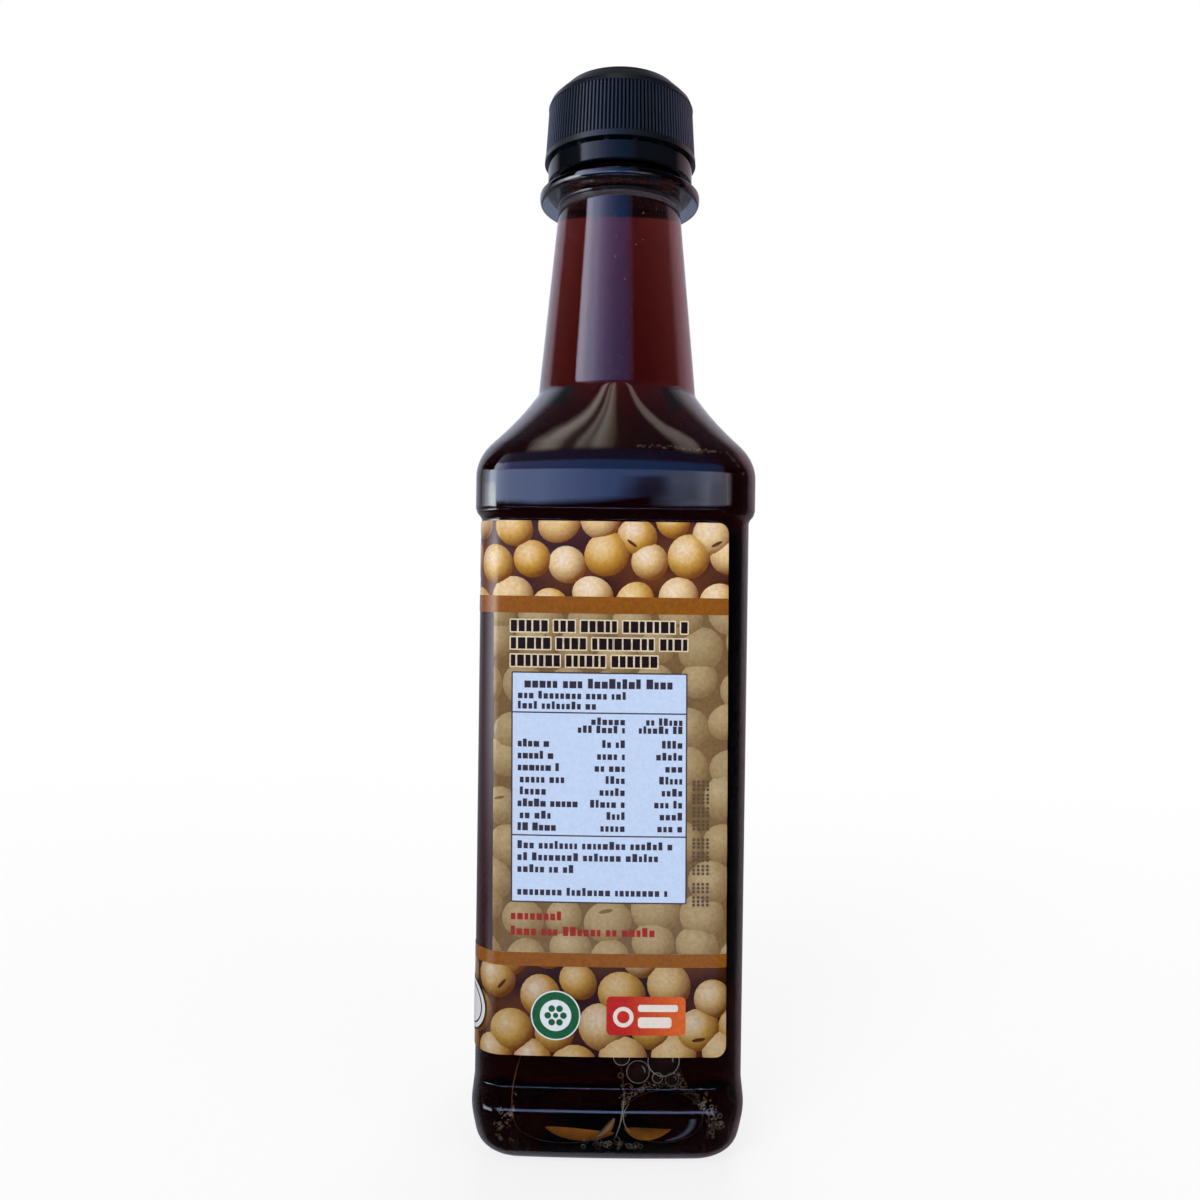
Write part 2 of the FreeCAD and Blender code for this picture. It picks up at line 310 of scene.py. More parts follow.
def toned_mesh():
    """A new mesh, and its layer of colours that are worked into its points."""
    bm = bmesh.new()
    return bm, bm.verts.layers.float_color.new("tone")


def turned(x, y, angle):
    return x * cos(angle) - y * sin(angle), x * sin(angle) + y * cos(angle)


def ellipse(middle, wide, high, start=0, end=360, steps=40):
    """Points along an arc, between two angles in degrees."""
    angles = (radians(start + (end - start) * step / steps) for step in range(steps + 1))
    return [(middle[0] + wide * cos(angle), middle[1] + high * sin(angle)) for angle in angles]


def towards(angle):
    """A level vector of length 1, turned from +X by angle."""
    return Vector((cos(angle), sin(angle), 0))


def blend(a, b, share):
    return tuple(x + (y - x) * share for x, y in zip(a, b))


def direction(a, b):
    length = hypot(b[0] - a[0], b[1] - a[1])
    return (b[0] - a[0]) / length, (b[1] - a[1]) / length


def body_corners():
    """The corners of the body's outline seen from the side, as (half width, height, rounding)."""
    neck_slope = (NECK_BOTTOM_RADIUS - NECK_TOP_RADIUS) / (RING_BOTTOM - NECK_BOTTOM)
    return [
        (PANEL_HALF / 2, 0, 0),
        (PANEL_HALF - FOOT_INSET, 0, 6.5),
        (PANEL_HALF + LOWER_BUMPER_PROUD, FOOT_TOP, 12.0),
        (PANEL_HALF, PANEL_BOTTOM, 4.0),
        (PANEL_HALF, PANEL_TOP, 1.5),
        (PANEL_HALF + UPPER_BUMPER_PROUD, UPPER_BUMPER_BOTTOM, 2.2),
        (PANEL_HALF + UPPER_BUMPER_PROUD, SHOULDER_BOTTOM, 12.0),
        (NECK_BOTTOM_RADIUS, NECK_BOTTOM, 3.0),
        (NECK_BOTTOM_RADIUS - neck_slope * 6, NECK_BOTTOM + 6, 0),
    ]


def outline(inset):
    """The outline with its roundings, moved inwards by inset, as (half width, height) from the base up."""
    corners = body_corners()
    points = []
    for i, (half, height, rounding) in enumerate(corners):
        into = direction(corners[i - 1], corners[i]) if i else direction(corners[0], corners[1])
        away = direction(corners[i], corners[i + 1]) if i + 1 < len(corners) else into
        turn = atan2(into[0] * away[1] - into[1] * away[0], into[0] * away[0] + into[1] * away[1])
        if not rounding:
            points.append((half - inset * into[1], height + inset * into[0]))
            continue
        radius = copysign(rounding, turn)
        setback = radius * tan(turn / 2)
        first = (half - setback * into[0], height - setback * into[1])
        centre = (first[0] - radius * into[1], first[1] + radius * into[0])
        for step in range(ARC_STEPS + 1):
            angle = turn * step / ARC_STEPS
            swing = turned(*into, angle)
            points.append((centre[0] + (radius - inset) * swing[1], centre[1] - (radius - inset) * swing[0]))
    rows = points[:1]
    for point in points[1:]:
        start = rows[-1]
        steps = ceil(dist(start, point) / ROW_STEP)
        rows += [blend(start, point, step / steps) for step in range(1, steps + 1)]
    return rows


def section_shape(half, height):
    """How far a level section's faces curve, and how far out its corners' centres lie."""
    centre = (PANEL_HALF - CORNER_RADIUS) / (1 + tan(FACE_TURN / 2))
    if height < PANEL_BOTTOM:
        return FACE_TURN, centre * min(1, half / PANEL_HALF)
    if height < UPPER_BUMPER_BOTTOM:
        return FACE_TURN, centre
    square = (half - NECK_BOTTOM_RADIUS) / (PANEL_HALF + UPPER_BUMPER_PROUD - NECK_BOTTOM_RADIUS)
    square = min(1, max(0, square))
    return FACE_TURN * square + NECK_TURN * (1 - square), centre * square


def section(half, height, inset=0.0):
    """A level ring of points. half is the half width at the faces' middles, already moved by inset."""
    turn, centre = section_shape(half + inset, height)
    face_centre = centre / tan(turn) - centre
    face_radius = half + face_centre
    corner_radius = half - centre * (1 + tan(turn / 2))
    points = []
    for quarter in range(4):
        facing = quarter * pi / 2
        corner = towards(facing + pi / 4) * sqrt(2) * centre
        for step in range(FACE_STEPS):
            angle = facing + turn * (2 * step / FACE_STEPS - 1)
            points.append(towards(angle) * face_radius - towards(facing) * face_centre)
        for step in range(CORNER_STEPS):
            angle = facing + turn + (pi / 2 - 2 * turn) * step / CORNER_STEPS
            points.append(towards(angle) * corner_radius + corner)
    return [point + Vector((0, 0, height)) for point in points]


def round_section(radius, height):
    """A level circle with the same points, in the same order, as a section."""
    points = section(radius, NECK_BOTTOM)
    return [Vector((p.x, p.y, height)) for p in points]


def skin(bm, rings):
    """Joins rings of points into faces, and closes both ends with a fan to its middle."""
    made = [[bm.verts.new(p) for p in ring] for ring in rings]
    count = len(made[0])
    for lower, upper in zip(made, made[1:]):
        for i in range(count):
            j = (i + 1) % count
            bm.faces.new((lower[i], lower[j], upper[j], upper[i]))
    for ring, order in ((made[0], -1), (made[-1], 1)):
        middle = bm.verts.new(sum((v.co for v in ring), Vector()) / count)
        for i in range(count):
            bm.faces.new((middle, ring[i], ring[(i + 1) % count])[::order])
    return made


def base_rings(floor_height, lift):
    """The hollow of the base, from its middle out to the flat rim that the bottle stands on."""
    flat_half = max(half for half, height in outline(0) if height < FLAT)
    rim = flat_half - RIM_WIDTH
    ball = (rim ** 2 + PUSH_UP_HEIGHT ** 2) / (2 * PUSH_UP_HEIGHT)
    centre = PUSH_UP_HEIGHT - ball
    grown = ball + lift
    edge = sqrt(grown ** 2 - (floor_height - centre) ** 2)
    rings = []
    for step in range(1, BASE_RINGS + 1):
        radius = edge * step / BASE_RINGS
        rings.append(round_section(radius, centre + sqrt(grown ** 2 - radius ** 2)))
    return rings


def body_rings(inset, lift):
    """The base's hollow and the body up to the start of the plain neck."""
    rows = outline(inset)
    floor_height = rows[0][1]
    flat = [r for r in rows if r[1] < floor_height + FLAT]
    rings = base_rings(floor_height, lift)
    rings += [section(half, height, inset) for half, height in rows[len(flat) - 1:]]
    return rings


def rounded(points, reach):
    """Cuts the corners of a line of (radius, height) points with small arcs that reach that far along it."""
    result = [points[0]]
    steps = 4
    for before, corner, after in zip(points, points[1:], points[2:]):
        a, b = direction(corner, before), direction(corner, after)
        near = min(reach, dist(before, corner) * 0.45, dist(corner, after) * 0.45)
        start = (corner[0] + a[0] * near, corner[1] + a[1] * near)
        end = (corner[0] + b[0] * near, corner[1] + b[1] * near)
        for step in range(steps + 1):
            t = step / steps
            result.append(tuple(
                (1 - t) ** 2 * start[k] + 2 * t * (1 - t) * corner[k] + t ** 2 * end[k] for k in (0, 1)
            ))
    result.append(points[-1])
    return result


def neck_rings(start, end, steps=24):
    """Rings of the plain tapering neck between two (radius, height) points."""
    return [round_section(*blend(start, end, i / steps)) for i in range(1, steps + 1)]


def bottle_piece():
    bm = bmesh.new()
    rings = body_rings(0, 0)
    top = outline(0)[-1]
    rings += neck_rings(top, (NECK_TOP_RADIUS, RING_BOTTOM - 1))
    finish = rounded([
        (NECK_TOP_RADIUS, RING_BOTTOM - 1),
        (NECK_TOP_RADIUS, RING_BOTTOM),
        (RING_RADIUS - 0.3, RING_BOTTOM),
        (RING_RADIUS, RING_BOTTOM + 0.8),
        (RING_RADIUS, RING_TOP - 0.3),
        (RING_RADIUS - 0.5, RING_TOP),
        (FINISH_RADIUS, RING_TOP),
        (FINISH_RADIUS, BOTTLE_TOP),
        (BORE_RADIUS, BOTTLE_TOP),
        (BORE_RADIUS, RING_TOP),
        (NECK_TOP_RADIUS - WALL, RING_BOTTOM),
        (NECK_TOP_RADIUS - WALL + 0.1, RING_BOTTOM - 1),
    ], 0.35)
    rings += [round_section(*p) for p in finish[1:]]
    outer_count = len(rings)
    inner = outline(WALL)[-1]
    rings += list(reversed(neck_rings(inner, (NECK_TOP_RADIUS - WALL, RING_BOTTOM - 2), 20)))
    rings += list(reversed(body_rings(WALL, BASE_WALL)))
    made = skin(bm, rings)
    within = {v for ring in made[outer_count:] for v in ring}
    # Faces from just below the ring upwards take the third wall, which is tinted dark: painted shade under the
    # cap.
    for face in bm.faces:
        if all(v in within for v in face.verts):
            face.material_index = 1
        elif min(v.co.z for v in face.verts) > RING_BOTTOM - 0.4:
            face.material_index = 2
    bmesh.ops.recalc_face_normals(bm, faces=bm.faces)
    walls = [
        clear_plastic("clear_outside", (1, 1, 1, 1)),
        clear_plastic("clear_inside", (0, 0, 0, 1)),
        # Painted shade: a dark blue tint in the clear plastic of the ring and finish under the cap.
        clear_plastic("finish_painted_shade", (1, 1, 1, 1), (0.11, 0.14, 0.2, 1)),
    ]
    return new_piece("bottle_clear", bm, walls)


def sauce_piece():
    """The sauce reaches just into the wall, so that no gap of air shows between them."""
    bm = bmesh.new()
    sunk_in = 0.06
    inset = WALL - sunk_in
    rings = body_rings(inset, BASE_WALL - sunk_in)
    rings += neck_rings(outline(inset)[-1], (NECK_TOP_RADIUS - inset, RING_BOTTOM))
    bore = BORE_RADIUS + sunk_in
    rings += [round_section(bore, height) for height in (RING_TOP, FILL_LEVEL)]
    skin(bm, rings)
    bmesh.ops.recalc_face_normals(bm, faces=bm.faces)
    return new_piece("sauce_liquid", bm, [sauce_material()])


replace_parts(bottle_piece(), "bottle")
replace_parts(sauce_piece(), "sauce")
cap_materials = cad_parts["cap"].data.materials
cap_materials.clear()
cap_materials.append(black_plastic())


# --- Label: drawn flat as (along, up, lift), then wrapped round the bottle ---

# along is 0 at the middle of the front face and grows to the right; up is the height above the base
FACE_CENTRE = section_shape(PANEL_HALF, PANEL_TOP - 1)[1]
FACE_SINK = FACE_CENTRE / tan(FACE_TURN) - FACE_CENTRE
LABEL_SURFACE = PANEL_HALF + LABEL_OUTSIDE
FACE_BEND = LABEL_SURFACE + FACE_SINK
CORNER_BEND = LABEL_SURFACE - FACE_CENTRE * (1 + tan(FACE_TURN / 2))
FACE_RUN = 2 * FACE_TURN * FACE_BEND
CORNER_RUN = (pi / 2 - 2 * FACE_TURN) * CORNER_BEND
CORNER_REACH = (asin((LABEL_END - FACE_CENTRE) / CORNER_BEND) - FACE_TURN) * CORNER_BEND
RIGHT = FACE_RUN / 2 + CORNER_REACH - 0.3
LEFT = -(2.5 * FACE_RUN + 2 * CORNER_RUN + CORNER_REACH)
LABEL_ROUNDING = 2.0
LEAN = -0.010                # how far the label leans, as one does that was put on a little askew


def wrapped(along, up, lift):
    """Where a point of the flat label lies on the bottle."""
    walk = along + FACE_RUN / 2
    quarter = floor(walk / (FACE_RUN + CORNER_RUN))
    rest = walk - quarter * (FACE_RUN + CORNER_RUN)
    facing = (quarter - 1) * pi / 2
    if rest <= FACE_RUN:
        angle = facing - FACE_TURN + rest / FACE_BEND
        bend, middle = FACE_BEND, towards(facing) * -FACE_SINK
    else:
        angle = facing + FACE_TURN + (rest - FACE_RUN) / CORNER_BEND
        bend, middle = CORNER_BEND, towards(facing + pi / 4) * sqrt(2) * FACE_CENTRE
    return towards(angle) * (bend + lift) + middle + Vector((0, 0, up))


def bend_lines():
    """Where flat print is cut across so that it can follow the bottle."""
    lines = []
    start = -FACE_RUN / 2 - 3 * (FACE_RUN + CORNER_RUN)
    for quarter in range(5):
        face = start + quarter * (FACE_RUN + CORNER_RUN)
        lines += [face + FACE_RUN * step / 12 for step in range(12)]
        lines += [face + FACE_RUN + CORNER_RUN * step / 20 for step in range(20)]
    return lines


def cut(bm, place, outward, clear=True):
    geometry = bm.verts[:] + bm.edges[:] + bm.faces[:]
    bmesh.ops.bisect_plane(bm, geom=geometry, plane_co=place, plane_no=outward, clear_outer=clear, dist=1e-6)


def crop(bm, left, right, low, high):
    """Cuts away what lies past four straight edges."""
    cut(bm, (0, low, 0), (0, -1, 0))
    cut(bm, (0, high, 0), (0, 1, 0))
    cut(bm, (left, 0, 0), (-1, 0, 0))
    cut(bm, (right, 0, 0), (1, 0, 0))


def trim_to_label(bm):
    """Cuts away what lies past the label's edges and round corners, and leans the rest as the label leans."""
    crop(bm, LEFT, RIGHT, LABEL_BOTTOM, LABEL_TOP)
    for step in range(1, 8):
        angle = pi / 2 * step / 8
        for across, upward in ((1, 1), (1, -1), (-1, 1), (-1, -1)):
            out = Vector((across * cos(angle), upward * sin(angle), 0))
            corner = Vector((
                RIGHT - LABEL_ROUNDING if across > 0 else LEFT + LABEL_ROUNDING,
                LABEL_TOP - LABEL_ROUNDING if upward > 0 else LABEL_BOTTOM + LABEL_ROUNDING,
                0,
            ))
            cut(bm, corner + out * LABEL_ROUNDING, out)
    for v in bm.verts:
        v.co.x += LEAN * (v.co.y - (LABEL_BOTTOM + LABEL_TOP) / 2)


def cut_at_bends(bm, start, end):
    for line in bend_lines():
        if start < line < end:
            cut(bm, (line, 0, 0), (1, 0, 0), clear=False)


def wrap_piece(name, bm, *inks):
    """Wraps flat print round the bottle and makes it a piece. Each ink is given as what ink() takes."""
    trim_to_label(bm)
    across = [v.co.x for v in bm.verts]
    cut_at_bends(bm, min(across), max(across))
    for v in bm.verts:
        v.co = wrapped(*v.co)
    new_piece(name, bm, [ink(*facts) for facts in inks])


def panel(bm, along, up, lift, rounding=0.0, index=0):
    """A flat rectangle between two pairs of limits, with round corners if asked for."""
    (left, right), (low, high) = along, up
    corners = []
    for across, upward, start in ((right, low, -90), (right, high, 0), (left, high, 90), (left, low, 180)):
        steps = 6 if rounding else 0
        centre = (
            across + (rounding if across == left else -rounding),
            upward + (rounding if upward == low else -rounding),
        )
        for step in range(steps + 1):
            angle = radians(start + (90 * step / steps if steps else 45))
            corners.append((centre[0] + rounding * cos(angle), centre[1] + rounding * sin(angle)))
    face = bm.faces.new([bm.verts.new((x, y, lift)) for x, y in corners])
    face.material_index = index


def disc(bm, middle, radius, lift, index=0, steps=40):
    points = ellipse(middle, radius, radius, steps=steps)[:-1]
    bm.faces.new([bm.verts.new((x, y, lift)) for x, y in points]).material_index = index


# Heights of the print's bands, in millimetres above the base
LOW_BROWN = (38.35, 40.85)
HIGH_BROWN = (103.6, 106.7)
WASHED_LEFT = -22.1          # where the maroon strip ends and the pale field of beans begins
FILM_SINK = 0.05             # how far the film's face lies below the label's outer surface
PAST = 1                     # print runs past the label's edges by this much before it is trimmed

# How far each layer of print lies above the label's outer surface
BEANS_LIFT = -0.045
MAROON_LIFT = -0.02
BANDS_LIFT = 0.06
BOX_LIFT = 0.07
BLOCKS_LIFT = 0.08
BOX_WHITE_LIFT = 0.085
TABLE_LIFT = 0.1
BADGE_LIFT = 0.1
LAYER = 0.012                # from one layer of a badge or a heading to the next

BEAN_SIDES = 22
BEAN_RINGS = 6
SCAR_SIDES = 12
SCAR_CHANCE = 0.22
GAP_WIDTH = 8


def film():
    """The label's own film: closed, with a pale cut edge."""
    bm = bmesh.new()
    left, right, low, high = LEFT - PAST, RIGHT + PAST, LABEL_BOTTOM - PAST, LABEL_TOP + PAST
    bm.faces.new([bm.verts.new((x, y, 0)) for x, y in ((left, low), (right, low), (right, high), (left, high))])
    trim_to_label(bm)
    cut_at_bends(bm, LEFT, RIGHT)
    made = bmesh.ops.extrude_face_region(bm, geom=bm.faces[:])
    for v in made["geom"]:
        if isinstance(v, bmesh.types.BMVert):
            v.co.z -= LABEL_OUTSIDE - LABEL_INSIDE - FILM_SINK
    for v in bm.verts:
        v.co = wrapped(v.co.x, v.co.y, v.co.z - FILM_SINK)
    bmesh.ops.recalc_face_normals(bm, faces=bm.faces)
    return new_piece("label_film", bm, [ink("film_edge", 196, 176, 140)], smooth=False)


def bean_tones(washed):
    """A bean's tones where light falls on it, on its side and at its rim, and the gaps between beans."""
    if washed:
        return (
            [srgb(172, 150, 112), srgb(166, 145, 108), srgb(176, 156, 120)],
            [srgb(158, 136, 98), srgb(152, 130, 92)],
            srgb(128, 102, 66),
            srgb(112, 86, 54),
        )
    return (
        [srgb(220, 200, 172), srgb(216, 190, 148), srgb(222, 204, 184)],
        [srgb(200, 162, 100), srgb(194, 150, 60), srgb(190, 142, 46), srgb(202, 170, 118)],
        srgb(112, 60, 14),
        srgb(46, 8, 3),
    )


def scar(bm, tone, middle, radius, lift, angle, colour):
    """The slim dark eye of a bean, set off its middle."""
    away, long, slim = radius * 0.42, radius * 0.3, radius * 0.08
    points = []
    for step in range(SCAR_SIDES):
        turn = 2 * pi * step / SCAR_SIDES
        u, w = turned(away + slim * cos(turn), long * sin(turn), angle)
        v = bm.verts.new((middle[0] + u, middle[1] + w, lift))
        v[tone] = colour
        points.append(v)
    bm.faces.new(points)


def bean(bm, tone, middle, radius, squash, turn, rise, light, body, rim):
    """A low dome, lit from the upper left, with its edge turned down."""
    rings = []
    for ring in range(BEAN_RINGS + 1):
        out = ring / BEAN_RINGS
        points = []
        for k in range(BEAN_SIDES if ring else 1):
            angle = 2 * pi * k / BEAN_SIDES
            u, w = turned(out * cos(angle), out * sin(angle) * squash, turn)
            height = rise + 0.05 * sqrt(max(0, 1 - out ** 2)) - 0.03 * (ring == BEAN_RINGS)
            v = bm.verts.new((middle[0] + u * radius, middle[1] + w * radius, height))
            away = hypot(u + 0.26, w - 0.34)
            colour = blend(light, body, min(1, away / 0.8))
            v[tone] = blend(colour, rim, min(1, max(0, (away - 0.55) / 0.7)) ** 1.25)
            points.append(v)
        rings.append(points)
    for k in range(BEAN_SIDES):
        m = (k + 1) % BEAN_SIDES
        bm.faces.new((rings[0][0], rings[1][k], rings[1][m]))
        for inner, outer in zip(rings[1:], rings[2:]):
            bm.faces.new((inner[k], outer[k], outer[m], inner[m]))


def gaps(bm, tone, left, right, low, high, rng, gap, rim):
    """The dark ground that shows between the beans."""
    columns, rows = ceil((right - left) / GAP_WIDTH), 5
    grid = [
        [
            bm.verts.new((left + (right - left) * i / columns, low + (high - low) * j / rows, BEANS_LIFT))
            for i in range(columns + 1)
        ]
        for j in range(rows + 1)
    ]
    for lower, upper in zip(grid, grid[1:]):
        for i in range(columns):
            bm.faces.new((lower[i], lower[i + 1], upper[i + 1], upper[i]))
    for row in grid:
        for v in row:
            v[tone] = blend(gap, rim, rng.random() ** 3 * 0.8)


def beans(name, along, up, size, seed, washed=False, spread=0.84, level=1.0):
    """A field of heaped round beans, each with its shading worked in, in a layout of its own."""
    lit, side, rim, gap = bean_tones(washed)
    rng = random.Random(seed)
    bm, tone = toned_mesh()
    (left, right), (low, high) = along, up
    gaps(bm, tone, left, right, low, high, rng, gap, rim)
    step_up = size * spread
    for row in range(ceil((high - low) / step_up) + 1):
        y = low + row * step_up + rng.uniform(-0.5, 0.2) * size * 0.3
        x = left - size * rng.uniform(0.1, 0.9)
        while x < right + size / 2:
            radius = size * rng.uniform(0.42, 0.56)
            x += radius * rng.uniform(0.9, 1.08)
            squash = rng.uniform(0.84, 1.0)
            turn = rng.uniform(0, pi)
            rise = BEANS_LIFT + 0.02 + rng.uniform(0, 0.035)
            light, body = rng.choice(lit), rng.choice(side)
            middle = (x, y + rng.uniform(-0.22, 0.22) * size)
            bean(bm, tone, middle, radius, squash, turn, rise, light, body, rim)
            if rng.random() < SCAR_CHANCE:
                angle = rng.uniform(0, 2 * pi)
                scar(bm, tone, middle, radius, rise + 0.055, angle, blend(rim, gap, 0.6))
            x += radius * rng.uniform(0.86, 1.08)
    crop(bm, left, right, low, high)
    for v in bm.verts:
        v[tone] = tuple(c * level for c in v[tone][:3]) + (1,)
    wrap_piece(name, bm, (name + "_ink",))


def words(bm, start, end, base, height, seed, lift=TABLE_LIFT, heavy=1.0, edge=0.0, flush_right=False):
    """A line of print shown as plain blocks, grouped as words are, that spell nothing.

    Blocks with an edge are all of one height, and the others stand at one of two.
    """
    rng = random.Random(seed)
    x = start
    shapes = []
    while x < end:
        letters = rng.randint(2, 8)
        for _ in range(letters):
            wide = height * rng.uniform(0.34, 0.6)
            if x + wide > end:
                break
            tall = height * (1.0 if edge else rng.choice((0.68, 0.68, 0.68, 0.95)))
            shapes.append((x, x + wide * heavy - (heavy - 1) * 0.1, tall))
            x += wide + height * 0.2
        x += height * 0.4
    shift = end - shapes[-1][1] if flush_right else 0
    for left, right, tall in shapes:
        panel(bm, (left + shift, right + shift), (base, base + tall), lift)
        if edge:
            around = (left + shift - edge, right + shift + edge), (base - edge, base + tall + edge)
            panel(bm, *around, lift - LAYER, edge, 1)


def bean_fields():
    whole = (LEFT - PAST, RIGHT + PAST)
    between = (LOW_BROWN[1], HIGH_BROWN[0])
    beans("print_beans_top", whole, (HIGH_BROWN[1], LABEL_TOP + PAST), 8.0, 3, spread=0.78, level=1.1)
    beans("print_beans_low", whole, (LABEL_BOTTOM - PAST, LOW_BROWN[0]), 8.6, 8, spread=0.82, level=0.72)
    beans("print_beans_washed", (WASHED_LEFT, RIGHT + PAST), between, 8.4, 21, washed=True)


def table(left, right):
    """The blocks in the box: a heading, two lines, two columns of figures and four lines below."""
    bm = bmesh.new()
    start = left + 1.2
    first, second = 2.4, 13.0            # the columns' right-hand ends
    bold = 1.14
    words(bm, left + 2.4, right - 2.4, 89.8, 1.9, 50, heavy=bold)
    words(bm, start, 3.2, 87.8, 1.5, 51)
    words(bm, start, -2.6, 85.9, 1.5, 52)
    for end, seed in ((first, 53), (second, 57)):
        words(bm, end - 7.4, end, 83.1, 1.45, seed, flush_right=True)
        words(bm, end - 8.8, end, 81.6, 1.45, seed + 1, flush_right=True)
    for row, (length, heavy) in enumerate((
        (6.2, bold), (6.8, bold), (7.8, bold), (9.0, 1), (5.2, 1), (11.4, bold), (6.6, 1), (7.2, bold),
    )):
        base = 78.9 - 2.21 * row
        words(bm, start + (0.4 if heavy == 1 else 0), start + length, base, 1.55, 60 + row, heavy=heavy)
        words(bm, first - 4.4 - row % 3, first, base, 1.5, 70 + row, flush_right=True)
        words(bm, second - 4.2 - row % 2, second, base, 1.5, 80 + row, flush_right=True)
    for base, end, seed in ((60.1, 11.6, 90), (57.9, 9.2, 91), (55.7, -6.0, 92), (51.5, 10.7, 93)):
        words(bm, start, end, base, 1.55, seed)
    wrap_piece("print_table", bm, ("table_ink", 52, 48, 62))


def print_layers():
    bm = bmesh.new()
    panel(bm, (LEFT - 3, WASHED_LEFT), (LOW_BROWN[1], HIGH_BROWN[0]), MAROON_LIFT)
    wrap_piece("print_maroon", bm, ("maroon_ink", 44, 16, 18, 0.15))
    bean_fields()
    bm = bmesh.new()
    for low, high in (LOW_BROWN, HIGH_BROWN):
        panel(bm, (LEFT - 3, RIGHT + 3), (low, high), BANDS_LIFT)
    wrap_piece("print_brown_bands", bm, ("brown_ink", 133, 77, 10))

    # The heading: three lines of heavy blocks, each with a pale edge
    bm = bmesh.new()
    for line, (base, end) in enumerate(((100.15, 14.0), (96.95, 14.2), (93.75, 8.4))):
        words(bm, -18.7, end, base, 2.1, 40 + line, BLOCKS_LIFT, heavy=1.12, edge=0.24)
    wrap_piece("print_heading", bm, ("heading_ink", 26, 12, 12), ("heading_edge_ink", 216, 200, 172))

    # The box with its table
    left, right, low, high = -18.55, 13.9, 50.15, 92.75
    line = 0.25
    bm = bmesh.new()
    panel(bm, (left, right), (low, high), BOX_LIFT, 0.3)
    panel(bm, (left + line, right - line), (low + line, high - line), BOX_WHITE_LIFT, 0.1, 1)
    for base in (85.15, 62.45):
        panel(bm, (left + 0.1, right - 0.1), (base, base + line), TABLE_LIFT)
    # The box's white ink is tinted blue: painted blue sky light on white.
    wrap_piece("print_box", bm, ("box_line_ink", 66, 58, 64), ("box_white_ink_painted_sky_tint", 190, 208, 238, 0.03))
    table(left, right)

    # Two lines in red below the box
    bm = bmesh.new()
    words(bm, left, -8.4, 46.9, 1.75, 95, BLOCKS_LIFT)
    words(bm, left, 8.4, 44.05, 1.75, 96, BLOCKS_LIFT)
    wrap_piece("print_red_lines", bm, ("red_ink", 150, 34, 22))

    # Nine blocks of dots, as an ink jet leaves them, in groups of two, three and four
    bm = bmesh.new()
    for block in range(9):
        base = 50.0 + 2.45 * block + 0.9 * ((block > 1) + (block > 4))
        for across in range(4):
            for upward in range(3):
                disc(bm, (15.2 + across * 0.85, base + upward * 0.7), 0.3, BLOCKS_LIFT, steps=10)
    wrap_piece("print_dots", bm, ("dot_ink", 92, 74, 54))


def discs(bm, middle, rounds):
    """Discs one on another, each given as its radius and its ink's place in the list."""
    for layer, (radius, index) in enumerate(rounds):
        disc(bm, middle, radius, BADGE_LIFT + layer * LAYER, index)


def badges():
    """Plain badges on the lower bean field, in shapes and places of their own."""
    # A rosette in a ring
    bm = bmesh.new()
    middle = (-10.2, 29.3)
    discs(bm, middle, ((4.6, 1), (4.35, 0), (2.9, 1)))
    for petal in range(6):
        angle = pi * petal / 3
        place = middle[0] + 1.45 * cos(angle), middle[1] + 1.45 * sin(angle)
        disc(bm, place, 0.62, BADGE_LIFT + 3 * LAYER, steps=16)
    disc(bm, middle, 0.5, BADGE_LIFT + 3 * LAYER, steps=16)
    green, white = ("badge_green_ink", 22, 88, 52), ("badge_white_ink", 214, 220, 226, 0.03)
    wrap_piece("print_badge_round", bm, green, white)

    # A plate that goes from red to orange, with round corners
    bm, tone = toned_mesh()
    left, right, low, high = -0.8, 13.8, 25.8, 33.0
    rounding, count = 0.9, 80
    rows = []
    for step in range(count + 1):
        share = step / count
        x = left + (right - left) * share
        into_corner = max(0, rounding - (x - left), rounding - (right - x))
        inset = rounding - sqrt(max(0, rounding ** 2 - into_corner ** 2))
        pair = [bm.verts.new((x, y, BADGE_LIFT)) for y in (low + inset, high - inset)]
        for v in pair:
            v[tone] = blend(srgb(176, 30, 24), srgb(206, 96, 34), max(0, share * 1.3 - 0.3))
        rows.append(pair)
    for a, b in zip(rows, rows[1:]):
        bm.faces.new((a[0], b[0], b[1], a[1]))
    wrap_piece("print_badge_square", bm, ("badge_red_ink",))

    # The plate's ring and its two bars
    bm = bmesh.new()
    on_plate = BADGE_LIFT + 0.015
    disc(bm, (2.3, 29.2), 1.9, on_plate)
    disc(bm, (2.3, 29.2), 1.15, on_plate + LAYER, 1)
    panel(bm, (5.0, 12.4), (30.2, 31.5), on_plate, 0.5)
    panel(bm, (5.0, 11.2), (27.2, 29.2), on_plate, 0.6)
    pale, inner = ("badge_pale_ink", 222, 212, 206, 0.03), ("badge_inner_ink", 184, 40, 26)
    wrap_piece("print_badge_marks", bm, pale, inner)

    # A seal of two thin rings at the left edge
    bm = bmesh.new()
    discs(bm, (-28.4, 29.6), ((5.1, 0), (4.7, 1), (3.9, 0), (3.6, 1)))
    wrap_piece("print_badge_seal", bm, ("seal_line_ink", 26, 24, 26), ("seal_white_ink", 214, 214, 216, 0.03))


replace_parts(film(), "label")
print_layers()
badges()


# --- Air trapped in the sauce, pressed flat against the front wall ---

WALL_ROWS = outline(0) + [(NECK_TOP_RADIUS, RING_BOTTOM)]
AIR_INSET = 0.22             # how far in from the bottle's outside the air lies


